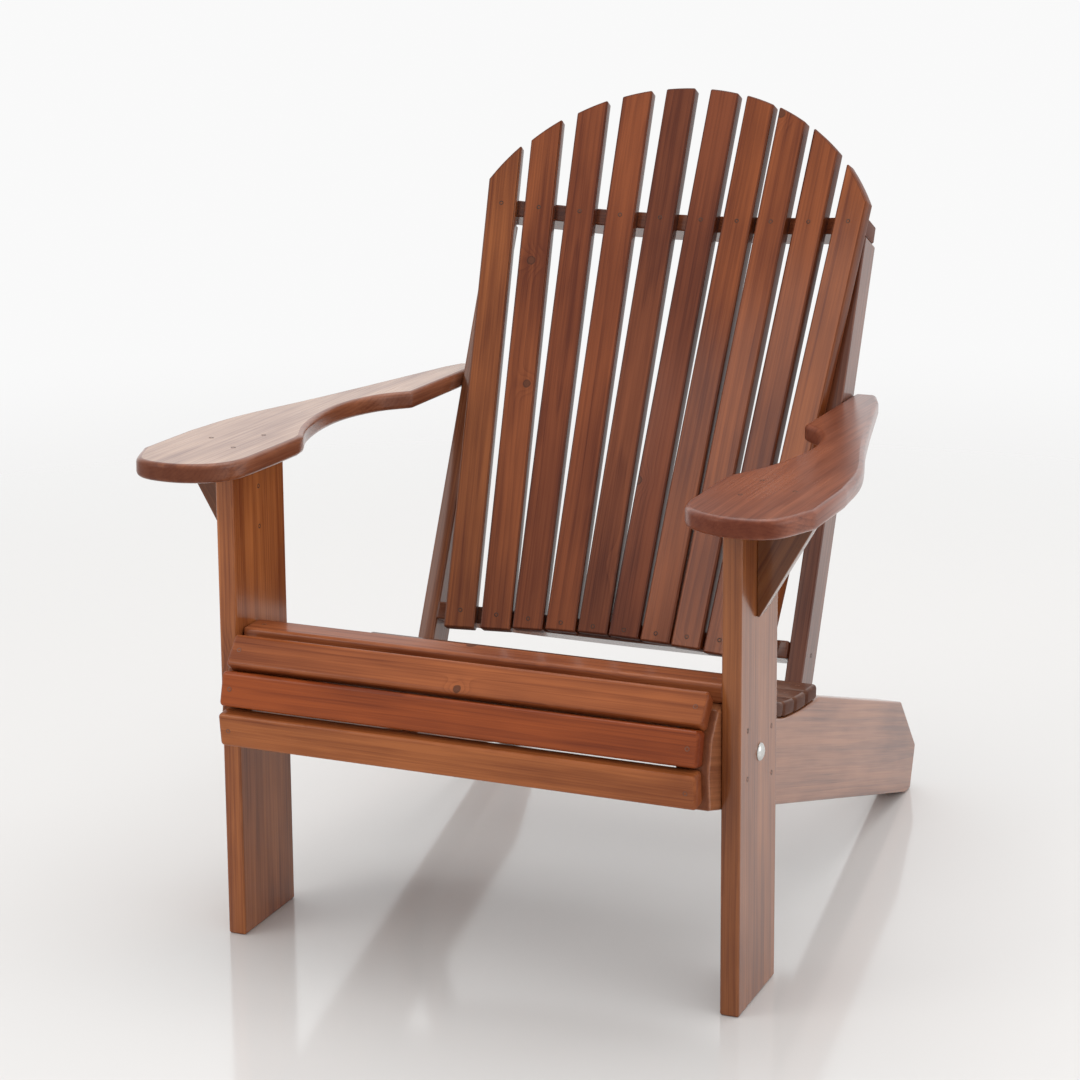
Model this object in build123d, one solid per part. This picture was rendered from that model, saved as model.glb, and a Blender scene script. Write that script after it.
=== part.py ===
from build123d import *
import os
from math import atan2, cos, degrees, hypot, radians, sin

# A garden chair of the fan-backed, paddle-armed kind, built from planed softwood boards.
# Millimetres. +Z is up, -Y is the way the sitter faces, +X is the right side seen from the front.
# Lengths along the chair are first laid out from the front edge of the legs, then the whole chair
# is moved so that the origin lies on the floor under the middle of its overall box.

# Overall
leg_spread = 632.0            # outside face to outside face of the two front legs
board = 22.0                  # thickness of the planed boards
round_over = 4.0              # rounding along the boards' edges
front_reach = -82.0           # arm tips, ahead of the legs' front edges
rear_reach = 800.0            # rearmost point of the side rails

# Front legs
leg_depth = 127.0
leg_round = 2.5

# Side rails: sloping boards that carry the seat and run back to the floor as rear legs
rail_thick = 38.0
rail_drop = 0.3115            # fall per millimetre of run, bottom edge
rail_bottom_at_front = 237.0  # height of the bottom edge at the legs' front edge
rail_foot_end = 778.0
rail_rear_height = 55.0
rail_top_rear = (727.0, 136.0)
rail_top_front = (364.0, 254.0)
nose_top = 352.0
nose_flat_end = 54.0
scoop_points = [(110.0, 323.0), (197.0, 280.0), (273.0, 263.0)]

# Seat and front slats
slat_width = 40.0
slat_half_length = 287.0
seat_slat_count = 8
seat_half_length = 293.5
seat_slat_thick = 18.0        # all but the foremost, which is as thick as the front slats
first_seat_slat = 13.0        # front edge of the foremost seat slat
last_seat_slat = 14.0         # rear edge of the last one, short of the scoop's end
seat_gap = 7.5
seat_clear = 0.7              # a flat slat bridges the hollow of the scoop by this much

# Back: slats fan out over two curved rails that run between two posts
back_lean = radians(25.9)
back_foot = (398.7, 284.5)    # where the plane of the outer slats' faces starts
back_half_width = 234.0       # half span over which the back is hollowed
hollow_low = 16.0             # depth of the hollow at the foot
hollow_high = 28.0            # depth of the hollow at the upper rail
slat_foot = 6.0               # distances up the slope of the back
lower_rail_from = 3.0
upper_rail_from = 543.0
rail_height = 22.0
rail_depth = 46.0
flat_depth = 1.0              # how far each slat is let into the curved rails
arch_centre = 443.5
arch_radius = 290.0
back_slat_width = 39.5
back_slat_thick = 18.0
back_slat_round = 2.0
slat_foot_pitch = 42.6
slat_head_pitch = 52.3
# How far each slat, left to right, stands aside from even spacing
foot_shift = [-3.3, 1.9, 1.3, 1.9, 1.8, 0.2, -0.1, -1.6, -0.8, 0.1]
head_shift = [2.5, -0.8, 0.8, 2.7, 4.4, 7.4, 4.5, -1.0, -1.5, 0.7]
post_front = 22.3             # behind the plane of the outer slats' faces
post_depth = 48.0
post_inner = 234.0
post_foot = -150.0

# Armrests
arm_top = 584.0               # height of the top face above the legs' front edges
arm_fall = 0.0225             # fall per millimetre of run to the rear
arm_rear = 618.0
arm_inner_rear = 256.0        # inner edge beside the post

# Brackets under the armrests
bracket_drop = 118.0
bracket_reach = 66.0
bracket_middle = 63.0

# Fasteners
screw_head = 4.0
screw_shank = 2.0
bolt_at = (67.0, 285.0)
bolt_shank = 4.0
bolt_head = 10.0
bolt_dome = 4.4
bolt_neck = 5.0
washer_radius = 12.0
washer_thick = 1.6
nut_flats = 13.0
nut_thick = 6.5
leg_screw_places = [(107.0, 302.0), (109.0, 247.0), (25.0, 322.0), (25.0, 267.0)]

leg_outer = leg_spread / 2
leg_inner = leg_outer - board
rail_inner = leg_inner - rail_thick
fastener_x = leg_inner - rail_thick / 2
arm_drop = board * hypot(1, arm_fall)     # an arm's thickness measured straight down

up_slope = Vector(0, sin(back_lean), cos(back_lean))
into_back = Vector(0, cos(back_lean), -sin(back_lean))
back_origin = Vector(0, back_foot[0], back_foot[1])

nodes = {}


def soften(part, radius):
    """Rounds every edge of a board."""
    return fillet(part.edges(), radius)


def mirrored(part):
    return part.mirror(Plane.YZ)


def rail_bottom(y):
    return rail_bottom_at_front - rail_drop * y


def arm_height(y):
    return arm_top - arm_fall * y


def screw(length, point, direction):
    """A countersunk wood screw whose flat head is flush at the point; it drives along direction."""
    head = Cone(screw_shank, screw_head, 2.4, align=(Align.CENTER, Align.CENTER, Align.MAX))
    shank = Cylinder(screw_shank, length, align=(Align.CENTER, Align.CENTER, Align.MAX))
    outward = Vector(*direction) * -1
    place = Plane(origin=Vector(*point), z_dir=outward)
    access = Cylinder(screw_head, 1.5, align=(Align.CENTER, Align.CENTER, Align.MIN))
    return place * (head + shank), place * (head + shank + access)


# --- front legs: the arm's underside sets the slope of the top cut -------------------------
def front_leg():
    side = Polyline(
        (0, 0),
        (leg_depth, 0),
        (leg_depth, arm_height(leg_depth) - arm_drop),
        (0, arm_height(0) - arm_drop),
        close=True,
    )
    blank = extrude(Plane.YZ.offset(leg_inner) * make_face(side), amount=board)
    return soften(blank, leg_round)


# --- side rails: nose facets for the three front slats, a scooped seat, a foot on the floor -
def unit(run, rise):
    return run / hypot(run, rise), rise / hypot(run, rise)


# Each facet of the nose: the middle of the slat's inner face and the direction up that face.
nose_facets = {
    "front_slat_lower": ((-38.7, 276.7), unit(-5, 40)),
    "front_slat_middle": ((-33.2, 316.3), unit(10, 38)),
    "front_slat_upper": ((-12.3, 346.7), unit(26, 30)),
}


def crossing(facet_a, facet_b):
    """Where the lines of two facets meet, in the rail's side view."""
    (ya, za), (ua, va) = facet_a
    (yb, zb), (ub, vb) = facet_b
    along = ((yb - ya) * vb - (zb - za) * ub) / (ua * vb - va * ub)
    return ya + along * ua, za + along * va


def scoop():
    start = (nose_flat_end, nose_top)
    return Spline(start, *scoop_points, rail_top_front, tangents=((1, -0.12), (1, -0.08)))


def side_rail():
    lower, middle, upper = nose_facets.values()
    underside = ((0, rail_bottom(0)), unit(1, -rail_drop))
    crown = ((0, nose_top), (1, 0))
    foot_start = (rail_bottom_at_front / rail_drop, 0)
    front = Polyline(
        foot_start,
        crossing(underside, lower),
        crossing(lower, middle),
        crossing(middle, upper),
        crossing(upper, crown),
        (nose_flat_end, nose_top),
    )
    rear = Polyline(
        rail_top_front,
        rail_top_rear,
        (rear_reach, rail_rear_height),
        (rail_foot_end, 0),
        foot_start,
    )
    face = make_face(front.edges() + scoop().edges() + rear.edges())
    blank = extrude(Plane.YZ.offset(rail_inner) * face, amount=rail_thick)
    sides = blank.faces().sort_by(Axis.X)
    rims = ShapeList(sides[0].edges() + sides[-1].edges())
    return fillet(rims, leg_round)


# --- slats across the chair ---------------------------------------------------------------
def cross_slat(middle, direction, half_length, thick):
    """A slat lying across the chair: middle of its inner face and the direction over its width."""
    (y, z), (run, rise) = middle, direction
    blank = Box(2 * half_length, slat_width, thick, align=(Align.CENTER, Align.CENTER, Align.MIN))
    blank = soften(blank, round_over)
    return Pos(0, y, z) * Rot(degrees(atan2(rise, run)), 0, 0) * blank


def seat_slat_places():
    """Middle of the inner face and direction for each seat slat, from front to rear."""
    places = [((first_seat_slat + slat_width / 2, nose_top), (1.0, 0.0))]
    curve = scoop()
    first = slat_width / 2 + seat_gap - (nose_flat_end - first_seat_slat - slat_width) + 2.0
    last = curve.length - slat_width / 2 - last_seat_slat
    step = (last - first) / (seat_slat_count - 2)
    for index in range(seat_slat_count - 1):
        share = min((first + step * index) / curve.length, 1.0)
        point, way = curve @ share, curve % share
        run, rise = unit(way.X, way.Y)
        places.append(((point.X - rise * seat_clear, point.Y + run * seat_clear), (run, rise)))
    return places


def slat_screws(middle, direction, thick):
    (y, z), (run, rise) = middle, direction
    top = (y - rise * thick, z + run * thick)
    return [screw(thick + 20, (side * fastener_x, *top), (0, rise, -run)) for side in (-1, 1)]


# --- the back -----------------------------------------------------------------------------
def hollow(x, up):
    depth = hollow_low + (hollow_high - hollow_low) * up / upper_rail_from
    return depth * (1 - (x / back_half_width) ** 2)


def back_point(x, up, behind=0.0):
    """A point of the hollowed back, x across and up the slope, behind the slats' faces."""
    return back_origin + Vector(x, 0, 0) + up_slope * up + into_back * (hollow(x, up) + behind)


def slat_frame(index):
    """Plane of a back slat's face: origin at its foot, x over its width, y along it."""
    middle = index - 4.5
    foot = back_point(middle * slat_foot_pitch + foot_shift[index], 0)
    head_x = middle * slat_head_pitch + head_shift[index]
    head = back_point(head_x, upper_rail_from)
    along = (head - foot).normalized()
    slope = -2 * hollow(0, upper_rail_from / 2) * (head_x + foot.X) / 2 / back_half_width ** 2
    across = Vector(1, 0, 0) + into_back * slope
    across = (across - along * across.dot(along)).normalized()
    return Plane(origin=foot, x_dir=across, z_dir=across.cross(along))


def back_slat(index):
    frame = slat_frame(index)
    reach = arch_centre + arch_radius
    strip = Rectangle(back_slat_width, 2 * reach)
    origin = back_origin + into_back * hollow(frame.origin.X, 0)
    local = frame.to_local_coords(origin)
    level = frame.to_local_coords(origin + Vector(100, 0, 0)) - local
    tall = arch_centre - slat_foot
    arch = Pos(0, slat_foot) * Rectangle(2 * arch_radius, tall, align=(Align.CENTER, Align.MIN))
    arch += Pos(0, arch_centre) * Circle(arch_radius)
    arch = Pos(local.X, local.Y) * Rot(0, 0, degrees(atan2(level.Y, level.X))) * arch
    blank = extrude(strip & arch, amount=-back_slat_thick)
    return frame * soften(blank, back_slat_round)


def curved_rail(up, half_length):
    """A back rail: a board cut to the hollow of the back in front and behind."""
    start = back_slat_thick - flat_depth
    ends = [(-half_length, 0), (0, 0), (half_length, 0)]
    front = [(x, -hollow(x, up) - start) for x, _ in ends]
    rear = [(x, -hollow(x, up) - start - rail_depth) for x, _ in ends]
    outline = ThreePointArc(*front).edges() + ThreePointArc(*rear).edges()
    outline += Line(front[0], rear[0]).edges() + Line(front[2], rear[2]).edges()
    plane = Plane(origin=back_origin + up_slope * up, x_dir=(1, 0, 0), z_dir=up_slope)
    facing = plane.to_local_coords(back_origin + up_slope * up + into_back)
    face = make_face(outline)
    if facing.Y > 0:
        face = face.mirror(Plane.XZ)
    blank = plane * extrude(face, amount=rail_height)
    arcs = blank.edges().filter_by(GeomType.CIRCLE)
    rear_arcs = sorted(arcs, key=lambda edge: edge.center().dot(into_back))[-2:]
    return fillet(ShapeList(rear_arcs), 2.0)


def slat_flat(index):
    """The space planed off the front of a curved rail where a slat lies on it."""
    blank = Box(back_slat_width + 6, 2 * arch_centre + 400, 40, align=(Align.CENTER, Align.CENTER, Align.MIN))
    return slat_frame(index) * Pos(0, 0, -back_slat_thick) * blank


def back_post():
    """A post beside the fan: its foot is cut along the side rail's underside."""
    rear = post_front + post_depth
    ends = [(post_foot, post_front), (upper_rail_from, post_front), (upper_rail_from, rear), (post_foot, rear)]
    corners = []
    for up, behind in ends:
        corner = back_origin + up_slope * up + into_back * behind
        corners.append((corner.Y, corner.Z))
    blank = extrude(Plane.YZ.offset(post_inner) * make_face(Polyline(*corners, close=True)), amount=board)
    keep_above = Polyline(
        (200, rail_bottom(200) + 8),
        (700, rail_bottom(700) + 8),
        (700, 1200),
        (200, 1200),
        close=True,
    )
    blank &= extrude(Plane.YZ.offset(post_inner - 5) * make_face(keep_above), amount=board + 10)
    return fillet(blank.edges(), 2.0)


# --- armrests: a rounded paddle over the leg, a hollowed waist, a tail beside the post -----
arm_plane = Plane(
    origin=(0, 0, arm_top),
    x_dir=(1, 0, 0),
    z_dir=Vector(0, arm_fall, 1).normalized(),
)


def armrest():
    tip = Spline(
        (265, -36),
        (291, -70),
        (334, front_reach + 0.2),
        (377, -68),
        (402, -12),
        tangents=((0.12, -1), (0.02, 1)),
    )
    outer = Line((402, -12), (402, 92))
    flank = Spline((402, 92), (391, 190), (357, 320), (333, 420), tangents=((0, 1), (-0.23, 1)))
    tail = Polyline((333, 420), (296, 585), (284, arm_rear), (arm_inner_rear, arm_rear), (arm_inner_rear, 410))
    waist = Spline(
        (arm_inner_rear, 410),
        (285, 372),
        (301, 315),
        (300, 248),
        (284, 172),
        (260, 112),
        tangents=((0.9, -0.5), (-0.42, -0.9)),
    )
    inner = Line((260, 112), (265, -36))
    edges = tip.edges() + outer.edges() + flank.edges() + tail.edges() + waist.edges() + inner.edges()
    return arm_plane * soften(extrude(make_face(edges), amount=-board), 5.0)


def arm_bracket():
    """A triangular knee outside the leg, in the plane across the chair."""
    top = arm_height(bracket_middle) - arm_drop - 0.3
    side = Polyline(
        (leg_outer, top),
        (leg_outer + bracket_reach, top),
        (leg_outer + bracket_reach, top - 8),
        (leg_outer + 3, top - bracket_drop),
        (leg_outer, top - bracket_drop),
        close=True,
    )
    plane = Plane(origin=(0, bracket_middle + board / 2, 0), x_dir=(1, 0, 0), z_dir=(0, -1, 0))
    return fillet((extrude(plane * make_face(side), amount=board)).edges(), 1.2)


# --- bolts through leg and side rail --------------------------------------------------------
def on_bolt(x):
    return Plane(origin=(x, *bolt_at), x_dir=(0, 1, 0), z_dir=(1, 0, 0))


def carriage_bolt():
    sphere_radius = (bolt_head ** 2 + bolt_dome ** 2) / (2 * bolt_dome)
    dome = Pos(0, 0, bolt_dome - sphere_radius) * Sphere(sphere_radius)
    dome &= Cylinder(bolt_head, bolt_dome, align=(Align.CENTER, Align.CENTER, Align.MIN))
    neck = Box(2 * bolt_shank, 2 * bolt_shank, bolt_neck, align=(Align.CENTER, Align.CENTER, Align.MAX))
    length = board + rail_thick + washer_thick + nut_thick + 5.0
    shank = Cylinder(bolt_shank, length, align=(Align.CENTER, Align.CENTER, Align.MAX))
    return on_bolt(leg_outer) * (dome + neck + shank)


def bolt_washer():
    ring = Cylinder(washer_radius, washer_thick, align=(Align.CENTER, Align.CENTER, Align.MAX))
    ring -= Cylinder(bolt_shank, 3 * washer_thick)
    return on_bolt(rail_inner) * ring


def bolt_nut():
    hexagon = RegularPolygon(nut_flats / 2, 6, major_radius=False)
    block = extrude(hexagon, amount=-nut_thick)
    crown = Cone(nut_flats / 2 + 3.2, nut_flats / 2 - 0.2, 3.4, align=(Align.CENTER, Align.CENTER, Align.MIN))
    limit = Pos(0, 0, -nut_thick) * Rot(180, 0, 0) * Pos(0, 0, -3.4) * crown
    limit += Cylinder(nut_flats, nut_thick - 3.4, align=(Align.CENTER, Align.CENTER, Align.MAX))
    block &= limit
    block -= Cylinder(bolt_shank, 4 * nut_thick)
    return on_bolt(rail_inner - washer_thick) * block


# --- put the wood together ------------------------------------------------------------------
def both_sides(name, part):
    nodes[name + "_right"] = part
    nodes[name + "_left"] = mirrored(part)


both_sides("front_leg", front_leg())
both_sides("side_rail", side_rail())
both_sides("back_post", back_post())
both_sides("armrest", armrest())
both_sides("arm_bracket", arm_bracket())

for name, (middle, direction) in nose_facets.items():
    run, rise = direction
    nodes[name] = cross_slat(middle, (run, rise), slat_half_length, board)

seat_places = seat_slat_places()
seat_thicks = [board] + [seat_slat_thick] * (seat_slat_count - 1)
for number, ((middle, direction), thick) in enumerate(zip(seat_places, seat_thicks), start=1):
    nodes[f"seat_slat_{number}"] = cross_slat(middle, direction, seat_half_length, thick)

for index in range(10):
    nodes[f"back_slat_{index + 1}"] = back_slat(index)

# The curved rails are planed flat where each slat lies on them.
nodes["upper_back_rail"] = curved_rail(upper_rail_from, 257.0)
nodes["lower_back_rail"] = curved_rail(lower_rail_from, post_inner)
for index in range(10):
    nodes["upper_back_rail"] -= slat_flat(index)
    nodes["lower_back_rail"] -= slat_flat(index)

# --- fasteners: each group is one node of separate solids -----------------------------------
screws = {}
screws["front_slat_screws"] = [s for place in nose_facets.values() for s in slat_screws(*place, board)]
screws["seat_slat_screws"] = [
    s for place, thick in zip(seat_places, seat_thicks) for s in slat_screws(*place, thick)
]


def rail_screws(up, length):
    group = []
    for index in range(10):
        frame = slat_frame(index)
        reach = up / frame.y_dir.dot(up_slope)
        point = frame.origin + frame.y_dir * reach
        group.append(screw(length, point, frame.z_dir * -1))
    return group


screws["back_slat_screws_upper"] = rail_screws(upper_rail_from + rail_height / 2, 45)
screws["back_slat_screws_lower"] = rail_screws(lower_rail_from + rail_height / 2 + 1.0, 45)


def pair(point, direction, length):
    """The same screw on both sides of the chair."""
    x, y, z = point
    run_x, run_y, run_z = direction
    return [screw(length, (side * x, y, z), (side * run_x, run_y, run_z)) for side in (-1, 1)]


screws["leg_screws"] = [s for y, z in leg_screw_places for s in pair((leg_outer, y, z), (-1, 0, 0), 36)]
bracket_top = arm_height(bracket_middle) - arm_drop
screws["bracket_screws"] = [
    s for drop in (30, 78) for s in pair((leg_inner, bracket_middle, bracket_top - drop), (1, 0, 0), 45)
]
arm_places = [(leg_outer - board / 2, 26), (leg_outer - board / 2, 100), (leg_outer + 38, bracket_middle)]
down = (0, -arm_fall, -1)
screws["armrest_screws"] = [s for x, y in arm_places for s in pair((x, y, arm_height(y)), down, 60)]


def post_place(up, behind):
    place = back_origin + up_slope * up + into_back * behind
    return place.Y, place.Z


arm_joint = []
for behind in (36.0, 56.0):
    rise = (arm_top - board / 2 - back_foot[1] + behind * sin(back_lean)) / cos(back_lean)
    y, z = post_place(rise - 8.0, behind)
    arm_joint += pair((post_inner, y, arm_height(y) - board / 2), (1, 0, 0), 40)
screws["armrest_post_screws"] = arm_joint

screws["lower_rail_screws"] = pair(
    (post_inner + board, *post_place(lower_rail_from + rail_height / 2, post_front + 24)), (-1, 0, 0), 50
)
screws["post_screws"] = [
    s for up, behind in ((-60, 36), (-100, 58)) for s in pair((post_inner, *post_place(up, behind)), (1, 0, 0), 50)
]
rail_top_place = post_place(upper_rail_from + rail_height, post_front + 24)
screws["upper_rail_screws"] = pair((post_inner + board / 2, *rail_top_place), tuple(up_slope * -1), 60)

both_sides("carriage_bolt", carriage_bolt())
both_sides("bolt_washer", bolt_washer())
both_sides("bolt_nut", bolt_nut())

# Each board is bored for the screws and bolts that pass through it.
fits = {
    "front_leg": ["leg_screws", "bracket_screws", "armrest_screws", "carriage_bolt"],
    "side_rail": ["leg_screws", "seat_slat_screws", "front_slat_screws", "post_screws", "carriage_bolt"],
    "back_post": ["armrest_post_screws", "lower_rail_screws", "post_screws", "upper_rail_screws"],
    "armrest": ["armrest_screws", "armrest_post_screws"],
    "arm_bracket": ["bracket_screws", "armrest_screws"],
    "front_slat": ["front_slat_screws"],
    "seat_slat": ["seat_slat_screws"],
    "back_slat": ["back_slat_screws_upper", "back_slat_screws_lower"],
    "upper_back_rail": ["back_slat_screws_upper", "upper_rail_screws"],
    "lower_back_rail": ["back_slat_screws_lower", "lower_rail_screws"],
}


def near(a, b):
    """True when two parts' boxes come within a millimetre of each other."""
    box_a, box_b = a.bounding_box(), b.bounding_box()
    gaps = [
        max(box_a.min.X - box_b.max.X, box_b.min.X - box_a.max.X),
        max(box_a.min.Y - box_b.max.Y, box_b.min.Y - box_a.max.Y),
        max(box_a.min.Z - box_b.max.Z, box_b.min.Z - box_a.max.Z),
    ]
    return max(gaps) < 1.0


for name in list(nodes):
    for family, groups in fits.items():
        if not name.startswith(family):
            continue
        for group in groups:
            if group in screws:
                cutters = [cutter for _, cutter in screws[group]]
            else:
                cutters = [nodes[group + side] for side in ("_left", "_right")]
            for cutter in cutters:
                if near(nodes[name], cutter):
                    nodes[name] = nodes[name] - cutter

for group, members in screws.items():
    nodes[group] = Compound(children=[body.solid() for body, _ in members])

front_end = nodes["armrest_right"].bounding_box().min.Y
rear_end = nodes["side_rail_right"].bounding_box().max.Y
centre_shift = -(front_end + rear_end) / 2

os.makedirs("parts", exist_ok=True)
for name, part in nodes.items():
    export_step(Pos(0, centre_shift, 0) * part, f"parts/{name}.step")
print(len(nodes), "nodes written")
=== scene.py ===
import bpy
import math
import numpy as np
from mathutils import Matrix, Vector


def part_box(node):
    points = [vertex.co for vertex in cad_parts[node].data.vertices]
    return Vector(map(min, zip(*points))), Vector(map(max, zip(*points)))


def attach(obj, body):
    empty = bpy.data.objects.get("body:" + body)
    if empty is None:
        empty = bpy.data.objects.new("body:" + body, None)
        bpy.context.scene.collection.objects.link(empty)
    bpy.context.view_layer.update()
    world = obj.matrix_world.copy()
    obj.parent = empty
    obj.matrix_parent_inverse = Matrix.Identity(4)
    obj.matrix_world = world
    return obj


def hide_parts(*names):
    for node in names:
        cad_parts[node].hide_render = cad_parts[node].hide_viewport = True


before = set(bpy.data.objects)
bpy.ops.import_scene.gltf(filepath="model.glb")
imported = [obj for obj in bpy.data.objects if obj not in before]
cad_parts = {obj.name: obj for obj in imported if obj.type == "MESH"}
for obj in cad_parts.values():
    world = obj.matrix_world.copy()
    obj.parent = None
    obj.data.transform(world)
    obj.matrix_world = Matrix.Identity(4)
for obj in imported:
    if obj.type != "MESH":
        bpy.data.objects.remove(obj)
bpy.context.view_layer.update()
print("frame loaded with", len(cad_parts), "CAD nodes")

# Metres throughout. Side views are laid out from the front edge of the legs: legFront is where
# that edge lies in the row's frame.
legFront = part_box("front_leg_right")[0].y
board = 0.022                   # planed thickness of nearly every board
tiny = 1e-12                    # keeps a division away from zero
rng = np.random.default_rng(11)


# Wraps one output socket, so that sums on values become Math nodes.
class Wire:
    def __init__(self, tree, socket):
        self.tree = tree
        self.socket = socket

    # any node: its settings come first, then the values or links of its sockets
    def node(self, kind, settings=None, inputs=None):
        made = self.tree.nodes.new(kind)
        for key, value in (settings or {}).items():
            setattr(made, key, value)
        for key, value in (inputs or {}).items():
            if isinstance(value, Wire):
                self.tree.links.new(value.socket, made.inputs[key])
            else:
                made.inputs[key].default_value = value
        return made

    def math(self, operation, *values, clamp=False):
        settings = {"operation": operation, "use_clamp": clamp}
        made = self.node("ShaderNodeMath", settings, dict(enumerate(values)))
        return Wire(self.tree, made.outputs[0])

    def __add__(self, other):
        return self.math("ADD", self, other)

    def __radd__(self, other):
        return self.math("ADD", other, self)

    def __sub__(self, other):
        return self.math("SUBTRACT", self, other)

    def __rsub__(self, other):
        return self.math("SUBTRACT", other, self)

    def __mul__(self, other):
        return self.math("MULTIPLY", self, other)

    def __rmul__(self, other):
        return self.math("MULTIPLY", other, self)

    def __truediv__(self, other):
        return self.math("DIVIDE", self, other)

    def __pow__(self, other):
        return self.math("POWER", self, other)

    def root(self):
        return self.math("SQRT", self)

    def fraction(self):
        return self.math("FRACT", self)

    # 1 where the value is under the limit, otherwise 0
    def below(self, limit):
        return self.math("LESS_THAN", self, limit)

    # the value held between 0 and 1
    def kept(self):
        return self.math("ADD", self, 0.0, clamp=True)

    # 0 below low, 1 above high, with an S-shaped ramp between
    def ramp(self, low, high):
        made = self.node(
            "ShaderNodeMapRange",
            {"interpolation_type": "SMOOTHSTEP"},
            {"Value": self, "From Min": low, "From Max": high},
        )
        return Wire(self.tree, made.outputs["Result"])

    # a bell: e to the power of minus the square of value over width
    def bell(self, width):
        share = self / width
        return self.math("EXPONENT", share * share * -1.0)

    def times(self, factors):
        made = self.node("ShaderNodeVectorMath", {"operation": "MULTIPLY"}, {0: self, 1: factors})
        return Wire(self.tree, made.outputs[0])

    # the three numbers in a vector, or in a colour with the other kind of node
    def parts(self, kind="ShaderNodeSeparateXYZ"):
        made = self.node(kind, None, {0: self})
        return [Wire(self.tree, socket) for socket in made.outputs[:3]]

    # smooth noise between 0 and 1, with so many waves to a metre in each direction
    def noise(self, waves, detail=2.0, roughness=0.5):
        inputs = {"Vector": self.times(waves), "Scale": 1.0, "Detail": detail, "Roughness": roughness}
        made = self.node("ShaderNodeTexNoise", {"noise_dimensions": "3D"}, inputs)
        return Wire(self.tree, made.outputs["Fac"])

    # mixes two colours, self being the factor
    def blend(self, first, second):
        settings = {"data_type": "RGBA", "blend_type": "MIX", "clamp_factor": True}
        made = self.node("ShaderNodeMix", settings, {0: self, 6: first, 7: second})
        return Wire(self.tree, made.outputs[2])

    # a colour multiplied by another
    def stained(self, colour):
        settings = {"data_type": "RGBA", "blend_type": "MULTIPLY"}
        made = self.node("ShaderNodeMix", settings, {0: 1.0, 6: self, 7: colour})
        return Wire(self.tree, made.outputs[2])


def attribute(tree, name, output):
    made = tree.nodes.new("ShaderNodeAttribute")
    made.attribute_name = name
    return Wire(tree, made.outputs[output])


def objectPlace(tree):
    made = tree.nodes.new("ShaderNodeTexCoord")
    return Wire(tree, made.outputs["Object"])


def newMaterial(name):
    material = bpy.data.materials.new(name)
    material.use_nodes = True
    tree = material.node_tree
    tree.nodes.clear()
    output = tree.nodes.new("ShaderNodeOutputMaterial")
    shader = tree.nodes.new("ShaderNodeBsdfPrincipled")
    tree.links.new(shader.outputs[0], output.inputs["Surface"])
    return material, tree, shader, output


def feed(tree, shader, values):
    for key, value in values.items():
        if isinstance(value, Wire):
            tree.links.new(value.socket, shader.inputs[key])
        else:
            shader.inputs[key].default_value = value


# A base value plus each pattern times the weight that has its name.
def weighted(base, patterns, weights):
    total = base
    for key, weight in weights.items():
        total = total + patterns[key] * weight
    return total


pine = {
    "ringWidth": 0.0042,        # metres between two growth rings
    "ringWander": (0.020, 0.010),   # how far the rings drift, across and through the board
    "ringJitter": 1.9,          # how many rings a fibre may be out by
    "lateSharp": 2.6,           # how late in a ring its dark wood starts
    "lateEnd": 0.90,
    "knotRadius": 0.0075,
    "knotFeather": 0.8,         # share of the radius at which a knot starts to fade
    "knotSize": (0.55, 0.75),   # smallest share of that radius, and what a draw adds
    "knotShare": 0.30,          # share of the cells of the knot grid that hold one
    "knotCells": 6.0,           # cells of that grid to a metre
    "knotWobble": 0.003,
    "knotRing": 0.0014,         # metres between two rings in a knot
    "knotLines": (0.1, 0.6),    # darkness between those rings, and what they add
    "knotRim": 0.0011,          # width of the dark line round it
    "bulgeWidth": 0.021,
    "bulge": 0.011,             # how far a knot pushes the rings aside
    "darkWood": (0.50, 0.38, 0.35, 1),      # shares of the board's own tint
    "lightWood": (1.22, 1.26, 1.20, 1),
    "knotPale": (0.115, 0.036, 0.016, 1),
    "knotDark": (0.030, 0.011, 0.006, 1),
    "rimColour": (0.022, 0.009, 0.005, 1),
    "wearFrom": (0.46, 0.66),   # where the noise lets varnish be rubbed off an edge and a painted highlight lighten it
    "gatherFrom": (0.60, 0.80),     # where it has gathered
    "coatIor": 1.40,
    "woodIor": 1.5,
    "woodSheen": 0.06,
    "endCoat": 0.7,             # share of the coat that end grain drinks
    "bumpStrength": 0.33,
    "bumpDistance": 0.0012,
}
# waves to a metre along, across and through the board, then detail and roughness
pineNoise = {
    "drift": ((1.6, 7.0, 7.0), 2.0, 0.45),
    "sway": ((2.6, 3.0, 3.0), 1.0, 0.4),
    "wobble": ((90.0, 90.0, 90.0), 1.0, 0.5),
    "jitter": ((0.6, 55.0, 55.0), 1.0, 0.5),
    "fibre": ((9.0, 620.0, 620.0), 2.0, 0.6),
    "streak": ((2.4, 105.0, 105.0), 2.0, 0.55),
    "blotch": ((4.0, 13.0, 13.0), 3.0, 0.55),
    "brush": ((5.0, 70.0, 70.0), 1.0, 0.5),
    "wear": ((26.0, 60.0, 60.0), 2.0, 0.5),
}
# what each pattern adds to the darkness, the roughness and the height of the surface
pineShade = {"late": 0.34, "streak": 1.30, "fibre": 0.90, "blotch": 1.80}
pineShadeBase = 0.40
pineGloss = {"fibre": 0.12, "blotch": 0.16, "endFace": 0.22, "knot": -0.06}
pineRelief = {"late": -0.10, "fibre": 0.16, "streak": 0.18, "brush": 0.42, "knot": 0.25, "rim": -0.3}
# how far each of these covers the wood's colour
pineCover = {"knot": 0.88, "rim": 0.70, "endFace": 0.72, "wornAndHighlit": 0.42, "gather": 0.25}


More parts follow.
